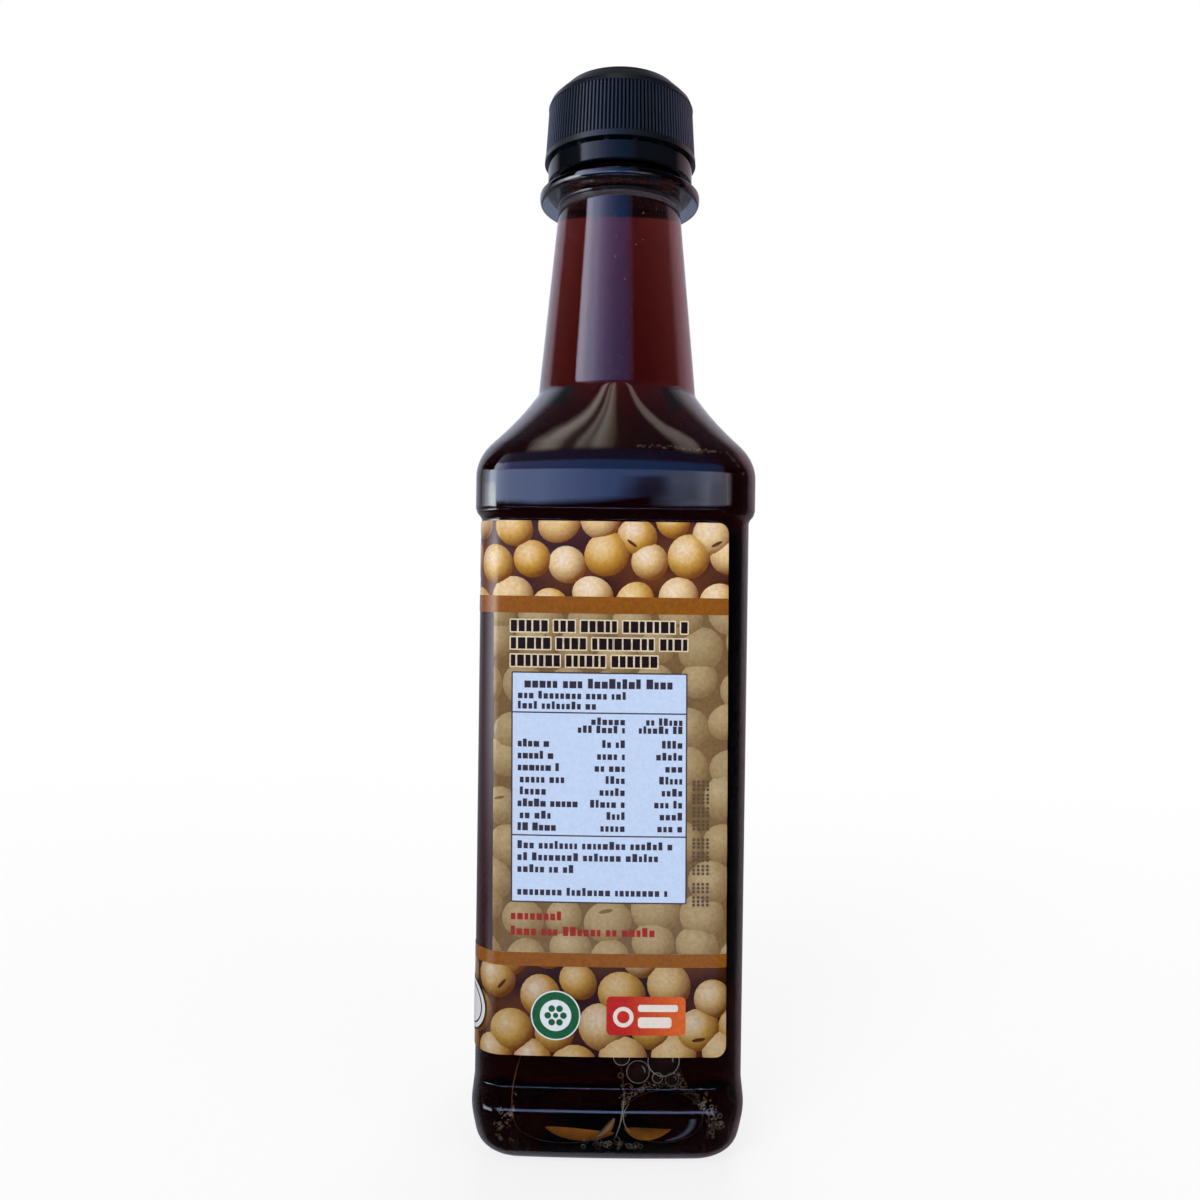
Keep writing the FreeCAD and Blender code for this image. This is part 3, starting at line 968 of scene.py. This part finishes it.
def wall_point(x, z, inset=AIR_INSET):
    """A point just inside the front wall, across from the middle by x and at height z."""
    for (half_a, low), (half_b, high) in zip(WALL_ROWS, WALL_ROWS[1:]):
        if low <= z <= high and high > low:
            half = half_a + (half_b - half_a) * (z - low) / (high - low)
            break
    turn, centre = section_shape(half, z)
    sink = centre / tan(turn) - centre
    bend = half + sink
    if abs(x) <= bend * sin(turn):
        depth = sqrt(bend ** 2 - x ** 2) - sink
    else:
        corner = half - centre * (1 + tan(turn / 2))
        depth = centre + sqrt(max(0, corner ** 2 - (abs(x) - centre) ** 2))
    return Vector((x, -depth + inset, z))


def thread(bm, tone, points, thickness, colour, closed=False):
    """A fine pale line along the wall, thickest at its middle unless it is closed."""
    count = len(points)
    rings = []
    for i, (x, z) in enumerate(points):
        before = points[i - 1 if closed or i else 0]
        after = points[(i + 1) % count if closed or i + 1 < count else i]
        along = Vector((after[0] - before[0], 0, after[1] - before[1])).normalized()
        across = along.cross(Vector((0, 1, 0)))
        size = thickness if closed else thickness * (0.35 + 0.65 * sin(pi * i / (count - 1)))
        ring = []
        for k in range(THREAD_SIDES):
            angle = 2 * pi * k / THREAD_SIDES
            inward = Vector((0, size * sin(angle), 0))
            v = bm.verts.new(wall_point(x, z) + across * size * cos(angle) + inward)
            v[tone] = colour
            ring.append(v)
        rings.append(ring)
    for i in range(count if closed else count - 1):
        a, b = rings[i], rings[(i + 1) % count]
        for k in range(THREAD_SIDES):
            m = (k + 1) % THREAD_SIDES
            bm.faces.new((a[k], a[m], b[m], b[k]))


def curve(*controls):
    """Points along a Bezier curve."""
    steps = 24
    points = []
    for step in range(steps + 1):
        share = step / steps
        row = [Vector(c) for c in controls]
        while len(row) > 1:
            row = [p.lerp(q, share) for p, q in zip(row, row[1:])]
        points.append(tuple(row[0]))
    return points


def patch(bm, tone, edges, depth=0.0):
    """A coloured skin through lines of points, each given with its colour."""
    steps = 5
    rows = []
    for (before, colour_a), (after, colour_b) in zip(edges, edges[1:]):
        for step in range(1 if rows else 0, steps + 1):
            share = step / steps
            row = []
            for a, b in zip(before, after):
                v = bm.verts.new(wall_point(*blend(a, b, share), AIR_INSET + depth))
                v[tone] = blend(colour_a, colour_b, share)
                row.append(v)
            rows.append(row)
    for a, b in zip(rows, rows[1:]):
        for i in range(len(a) - 1):
            bm.faces.new((a[i], a[i + 1], b[i + 1], b[i]))


def air_material():
    material, s, surface, _ = new_material("trapped_air")
    s.fill(surface, Base_Color=s.worked_in(400, 0.75, 1.15), Roughness=0.35, Specular_IOR_Level=0.05)
    return material


RIGHT_POCKET = ((10.3, 10.6), 7.3, 4.9)          # its middle, half width and half height


def air_pockets():
    """Two flat pockets of air low on the front, drawn in painted light: a golden glow through each, a painted
    glint caught along its foot, and bright threads of painted highlight round its edge.
    """
    gold, brown, dark = srgb(184, 118, 34), srgb(126, 76, 28), srgb(14, 6, 8)
    warm_glint, cool_glint = srgb(190, 150, 112), srgb(112, 116, 138)
    bright, dim, amber = srgb(206, 192, 170), srgb(96, 74, 58), srgb(150, 100, 54)
    bm, tone = toned_mesh()
    # Painted light: the golden glow showing through each pocket, shading to brown.
    patch(bm, tone, (
        (curve((-11.5, 8.6), (-8.0, 8.9), (-3.6, 8.2), (1.3, 7.7)), gold),
        (curve((-11.5, 8.6), (-8.8, 5.1), (-1.2, 5.3), (1.3, 7.6)), brown),
    ))
    # A painted glint along the left pocket's foot, between dark edges.
    patch(bm, tone, (
        (curve((-1.9, 6.9), (-0.9, 8.6), (0.1, 10.0), (1.2, 10.6)), dark),
        (curve((-1.9, 6.8), (-0.6, 7.6), (0.6, 8.8), (1.3, 10.5)), warm_glint),
        (curve((-1.9, 6.7), (0.1, 6.8), (1.3, 8.0), (1.5, 10.4)), brown),
    ), -0.03)
    patch(bm, tone, (
        (curve((3.2, 8.7), (6.0, 9.0), (9.0, 8.4), (11.8, 8.5)), brown),
        (curve((3.2, 8.6), (4.8, 5.2), (9.2, 5.4), (11.8, 8.4)), gold),
    ))
    # A cool painted glint along the right pocket's foot, between dark edges.
    patch(bm, tone, (
        (curve((10.8, 6.2), (13.4, 7.0), (15.0, 8.4), (15.1, 10.4)), dark),
        (curve((10.8, 6.1), (13.9, 6.5), (15.8, 8.2), (15.9, 10.4)), cool_glint),
        (curve((10.8, 6.0), (14.4, 6.0), (16.7, 8.0), (16.6, 10.4)), dark),
    ), -0.03)
    # Threads of painted highlight along the pockets' outlines.
    left_side = curve((-16.0, 22.0), (-17.8, 16.6), (-18.4, 11.6), (-16.6, 8.2))
    thread(bm, tone, left_side, 0.08, amber)
    thread(bm, tone, curve((-16.6, 8.2), (-14.4, 5.4), (-8.0, 4.6), (-1.6, 6.2)), 0.07, dim)
    thread(bm, tone, curve((1.9, 22.0), (3.0, 17.6), (3.4, 13.4), (2.6, 10.6)), 0.1, dim)
    thread(bm, tone, curve((3.1, 15.2), (3.0, 12.2), (2.6, 9.6), (1.6, 6.8)), 0.13, bright)
    for start, end, thickness, colour in (
        (60, 150, 0.05, dim), (150, 215, 0.09, bright), (-20, 70, 0.08, dim), (215, 340, 0.07, dim),
    ):
        thread(bm, tone, ellipse(*RIGHT_POCKET, start, end), thickness, colour)
    return new_piece("air_pockets", bm, [air_material()])


def bubbles():
    """Foam: fine rings of light round small bubbles, in drifts beside the pockets."""
    rng = random.Random(5)
    bm, tone = toned_mesh()
    silver, amber = srgb(236, 228, 214), srgb(186, 146, 100)

    def bubble(x, z, radius):
        pale = blend(amber, silver, rng.random())
        pale = blend(srgb(40, 22, 16), pale, 0.25 + 0.75 * rng.random() ** 1.5)
        steps = 30 if radius > 1 else 18 if radius > 0.5 else 10
        ring = ellipse((x, z), radius, radius, 0, 360, steps)[:-1]
        thread(bm, tone, ring, max(0.03, min(0.07, radius * 0.08)), pale, True)
        # Painted highlight: a pale arc inside the larger bubbles; the largest also get a painted red glow in
        # the middle, darkening to near black at the rim.
        if radius > 0.45:
            shine = ellipse((x, z), radius * 0.6, radius * 0.6, -10, 60, 8)
            thread(bm, tone, shine, radius * 0.06, srgb(170, 170, 184))
        if radius > 0.9:
            within = [ellipse((x, z), radius * out, radius * out, 0, 360, 30) for out in (0.05, 0.9)]
            patch(bm, tone, ((within[0], srgb(52, 16, 12)), (within[1], srgb(16, 5, 6))), 0.05)

    # A silver speck: a painted highlight where a tiny bubble catches the light.
    def speck(x, z, radius):
        middle = wall_point(x, z)
        made = bmesh.ops.create_icosphere(bm, subdivisions=1, radius=radius)
        for v in made["verts"]:
            v.co += middle
            v[tone] = silver

    for x, z, radius in (
        (5.6, 18.9, 2.1), (10.3, 21.0, 2.9), (2.5, 21.6, 1.5), (3.8, 15.8, 0.9), (9.2, 17.8, 0.95),
        (11.9, 17.5, 1.25), (7.3, 16.6, 0.55), (6.2, 15.6, 0.5), (14.0, 16.6, 0.6), (2.4, 18.2, 0.5),
    ):
        bubble(x, z, radius)
    # A row along the right pocket's top
    (x, z), wide, _ = RIGHT_POCKET
    high = 5.2
    for step in range(38):
        angle = radians(8 + 150 * step / 37)
        out = 1.06 + rng.random() * 0.12
        place = x + wide * out * cos(angle), z + high * out * sin(angle)
        bubble(*place, rng.uniform(0.14, 0.4))
    # Drifts: middle, spread, count and sizes
    for middle, spread, count, sizes in (
        ((20.0, 9.2), (1.7, 2.6), 26, (0.16, 0.6)),
        ((17.8, 13.4), (1.3, 1.8), 12, (0.12, 0.34)),
        ((1.6, 5.2), (5.0, 1.2), 34, (0.16, 0.55)),
        ((-19.2, 10.0), (1.7, 3.2), 26, (0.1, 0.34)),
        ((13.6, 18.4), (2.2, 1.4), 9, (0.12, 0.34)),
        ((2.9, 13.8), (0.4, 3.4), 12, (0.1, 0.26)),
        ((-17.5, 11.4), (0.3, 2.6), 16, (0.08, 0.18)),
    ):
        for number in range(count):
            x = middle[0] + spread[0] * max(-1.3, min(1.3, rng.gauss(0, 0.6)))
            z = max(2.8, middle[1] + spread[1] * max(-1.3, min(1.3, rng.gauss(0, 0.6))))
            bubble(x, z, rng.uniform(*sizes))
            if number % 2:
                speck(x + rng.uniform(-0.6, 0.6), z + rng.uniform(-0.6, 0.6), rng.uniform(0.06, 0.13))
    # A broken row round the foot of the shoulder, and specks of painted highlight in the neck
    for step in range(46):
        share = step / 45
        if rng.random() < 0.75:
            x = 4.0 + 19.5 * share
            z = 134.6 - 1.6 * share ** 2 - 3.2 * max(0, share - 0.86) / 0.14 + rng.uniform(-0.25, 0.25)
            bubble(x, z, rng.uniform(0.1, 0.22))
    for _ in range(26):
        speck(rng.gauss(-3.0, 5.0), rng.uniform(150, 184), rng.uniform(0.05, 0.1))
    return new_piece("bubbles", bm, [air_material()])


air_pockets()
bubbles()


# --- Stage and light ---

def stage():
    """A pale floor, white where the camera sees it away from the object's shadow."""
    bm = bmesh.new()
    bmesh.ops.create_grid(bm, x_segments=8, y_segments=8, size=1.5)
    mesh = bpy.data.meshes.new("floor")
    bm.to_mesh(mesh)
    bm.free()
    ground = add_object("floor", mesh)
    material, s, surface, out = new_material("floor")
    s.fill(surface, Base_Color=(0.85, 0.85, 0.85, 1), Roughness=0.8)
    path = s.add("LightPath").outputs
    glow = s.add("Emission", Color=(1, 1, 1, 1), Strength=1.0)
    far = s.length(s.place())
    seen = s.times(path["Is Camera Ray"], s.span(far, 0.1, 0.5, 0.8, 1.0))
    seen_through = s.times(path["Is Transmission Ray"], s.span(far, 0.03, 0.09))
    part = s.math("MAXIMUM", seen, seen_through)
    both = s.add("MixShader", _0=part, _1=surface.outputs[0], _2=glow.outputs[0])
    s.put(out, "Surface", both.outputs[0])
    mesh.materials.append(material)
    ground.visible_glossy = False


def softbox(name, place, size, power):
    data = bpy.data.lights.new(name, "AREA")
    data.shape = "RECTANGLE"
    data.size, data.size_y = size
    data.energy = power
    lamp = add_object(name, data)
    lamp.location = place
    lamp.rotation_euler = (Vector((0, 0, 0.1)) - Vector(place)).to_track_quat("-Z", "Y").to_euler()
    lamp.visible_glossy = False
    lamp.visible_transmission = False


def surroundings():
    """White behind the bottle, one pale colour seen through it, and for gloss a soft sky in a dark room."""
    world = bpy.data.worlds.new("studio")
    bpy.context.scene.world = world
    world.use_nodes = True
    world.cycles.sampling_method = "NONE"
    s = Shader(world.node_tree)
    direction_seen = s.add("TexCoord").outputs["Generated"]
    x, y, z = s.add("SeparateXYZ", Vector=direction_seen).outputs
    side = s.math("ARCTAN2", x, s.times(y, -1.0))
    up = s.math("ARCSINE", z)
    side_degrees, up_degrees = (s.times(angle, 180 / pi) for angle in (side, up))
    uneven = s.add("TexNoise", Vector=direction_seen, Scale=9.0, Detail=3.0).outputs["Fac"]

    def degrees(value, start, end):
        return s.ramp(value, radians(start), radians(end))

    def between(value, a, b, c, d):
        return s.times(degrees(value, a, b), s.inverted(degrees(value, c, d)))

    def stops(value, low, high, colours):
        """Colours at given values, with straight runs between them."""
        node = s.add("ValToRGB", Fac=s.span(value, low, high))
        elements = node.color_ramp.elements
        for i, (place, *colour) in enumerate(colours):
            position = (place - low) / (high - low)
            element = elements[i] if i < 2 else elements.new(position)
            element.position = position
            element.color = (*colour, 1)
        return node.outputs[0]

    def by_side(*colours):
        return stops(side_degrees, -130, 60, colours)

    # The room, dim above and nearly black below, with the pale far end behind the bottle
    room = s.mix(degrees(up, 20, 50), (0.012, 0.012, 0.018, 1), (0.045, 0.042, 0.065, 1))
    behind = stops(side_degrees, -180, 180, (
        (-180, 0.7, 0.7, 0.85), (-138, 0.8, 0.84, 1.05), (-118, 0.8, 0.74, 0.87), (-103, 0.3, 0.24, 0.28),
        (-94, 0, 0, 0), (98, 0, 0, 0), (108, 0.6, 0.38, 0.44), (127, 0.82, 0.55, 0.66), (152, 0.6, 0.54, 0.6),
        (180, 0.7, 0.7, 0.85),
    ))
    level = s.times(
        s.span(up, radians(-15), radians(15), 0.4, 1.0),
        s.inverted(s.times(degrees(up, 35, 55), 0.92)),
    )
    colour = s.brighter(room, s.scaled(behind, level))

    # The sky seen in the body's faces and, higher up, in the neck
    low = by_side(
        (-125, 0, 0, 0), (-112, 0.3, 0.3, 0.4), (-98, 1.3, 1.4, 1.6), (-82, 3.0, 3.2, 4.0),
        (-72, 6.4, 7.4, 9.2), (-60, 6.0, 7.0, 8.8), (-48, 3.2, 4.0, 5.8), (-30, 2.3, 2.9, 4.8),
        (-15, 1.9, 2.5, 4.4), (-8, 1.6, 2.2, 4.2), (-5, 1.1, 1.6, 3.4), (-1, 0.65, 1.1, 2.7),
        (4, 0.5, 0.9, 2.1), (12, 0.5, 0.8, 1.6), (24, 0.4, 0.6, 1.2), (28, 0, 0, 0),
    )
    high = by_side(
        (-66, 0, 0, 0), (-63, 4.2, 4.4, 5.6), (-56, 4.3, 4.5, 6.0), (-48, 2.7, 3.1, 4.5),
        (-38, 2.1, 2.4, 3.9), (-29, 1.25, 1.4, 2.7), (-20, 0.7, 0.9, 2.0), (-11, 0.4, 0.65, 1.6),
        (-2, 0.16, 0.46, 1.3), (6, 0.1, 0.4, 1.15), (15, 0.08, 0.3, 0.85), (22, 0.15, 0.18, 0.4), (27, 0, 0, 0),
    )
    sky = s.mix(degrees(up, 15.5, 18), low, high)
    sky = s.mix(s.times(degrees(up, 31, 38), 0.8), sky, (0.02, 0.02, 0.03, 1))
    skyline = s.add("SeparateXYZ", Vector=by_side(
        (-130, 2.4, 0, 0), (-12, 2.6, 0, 0), (-8, 3.0, 0, 0), (-4, 3.6, 0, 0), (0, 4.6, 0, 0),
        (3, 5.6, 0, 0), (60, 6.0, 0, 0),
    )).outputs[0]
    height = s.math("ADD", up_degrees, s.times(s.math("SUBTRACT", uneven, 0.5), 1.4))
    sky_part = s.ramp(s.math("SUBTRACT", height, skyline), -1.0, 1.4)
    sky_part = s.times(sky_part, s.inverted(degrees(up, 50, 62)))
    colour = s.mix(s.times(sky_part, between(side, -124, -110, 24, 28)), colour, sky)

    # A grey wall to the right, with a dark gap in it
    wall = stops(side_degrees, 0, 60, (
        (4, 0.7, 0.9, 1.5), (8, 1.1, 1.3, 1.9), (10, 2.1, 2.3, 3.1), (12, 1.6, 1.7, 2.4),
        (20, 1.4, 1.45, 1.8), (30, 1.9, 1.85, 2.2), (45, 0.7, 0.7, 0.85),
    ))
    wall_part = s.times(between(up, 2.0, 3.2, 15, 17.5), between(side, 3.0, 7.0, 34, 48))
    colour = s.mix(s.times(wall_part, s.span(uneven, 0.4, 0.6, 0.7, 1.0)), colour, wall)
    gap_part = s.times(between(up, 4.6, 5.6, 7.4, 8.6), between(side, 0, 3, 4.5, 6.5))
    colour = s.mix(s.times(gap_part, 0.85), colour, (0.1, 0.12, 0.3, 1))

    # The bright window to the left that lights the label's bend, a glint below it, and the ground's edge
    window = by_side(
        (-125, 0, 0, 0), (-112, 0.4, 0.4, 0.5), (-98, 1.6, 1.7, 2.0), (-82, 5.2, 5.4, 6.2),
        (-70, 10.2, 11.0, 11.4), (-58, 10.2, 11.0, 11.4), (-51, 0, 0, 0),
    )
    window_part = s.times(between(up, -15, -5, 5, 7), degrees(side, -124, -110))
    colour = s.mix(window_part, colour, s.brighter(colour, window))
    glint = s.times(between(up, -24, -22.5, -20, -18), between(side, -84, -72, -54, -42))
    colour = s.mix(glint, colour, (4.2, 4.7, 5.6, 1))
    ground = s.times(between(up, -21, -19, -17.5, -15.5), between(side, -40, -24, 12, 36))
    colour = s.mix(ground, colour, (1.5, 1.9, 3.6, 1))

    # Pale streaks overhead, seen in the shoulder
    streaks = stops(x, -0.5, 0.5, (
        (-0.2, 0, 0, 0), (-0.18, 0.7, 0.6, 0.55), (-0.158, 2.5, 2.2, 1.95), (-0.14, 2.1, 1.85, 1.6),
        (-0.118, 0.3, 0.25, 0.22), (-0.1, 0.25, 0.2, 0.18), (-0.085, 1.6, 1.45, 1.3),
        (-0.066, 0.9, 0.75, 0.65), (-0.045, 1.9, 1.8, 1.6), (-0.02, 1.1, 0.9, 0.7),
        (0.005, 0.1, 0.08, 0.08), (0.125, 0, 0, 0), (0.145, 1.3, 1.1, 1.0), (0.17, 1.5, 1.25, 1.15),
        (0.19, 0, 0, 0),
    ))
    overhead = s.times(degrees(up, 52, 66), s.inverted(s.ramp(y, 0.05, 0.3)))
    colour = s.mix(overhead, colour, s.brighter(room, streaks))

    # Rays through the rough plastic count as glossy too, so the transmission test comes last
    path = s.add("LightPath").outputs
    final = s.mix(path["Is Camera Ray"], (0.4, 0.4, 0.4, 1), (1, 1, 1, 1))
    final = s.mix(path["Is Glossy Ray"], final, colour)
    final = s.mix(path["Is Transmission Ray"], final, (0.76, 0.76, 0.86, 1))
    s.add("OutputWorld", Surface=s.add("Background", Color=final, Strength=1.0).outputs[0])


stage()
softbox("key", (-0.5, -0.9, 0.8), (0.6, 0.6), 7.2)
softbox("fill", (0.8, -0.7, 0.35), (0.6, 0.8), 3.2)
softbox("back", (0.1, 0.9, 0.8), (0.8, 0.5), 8)
surroundings()
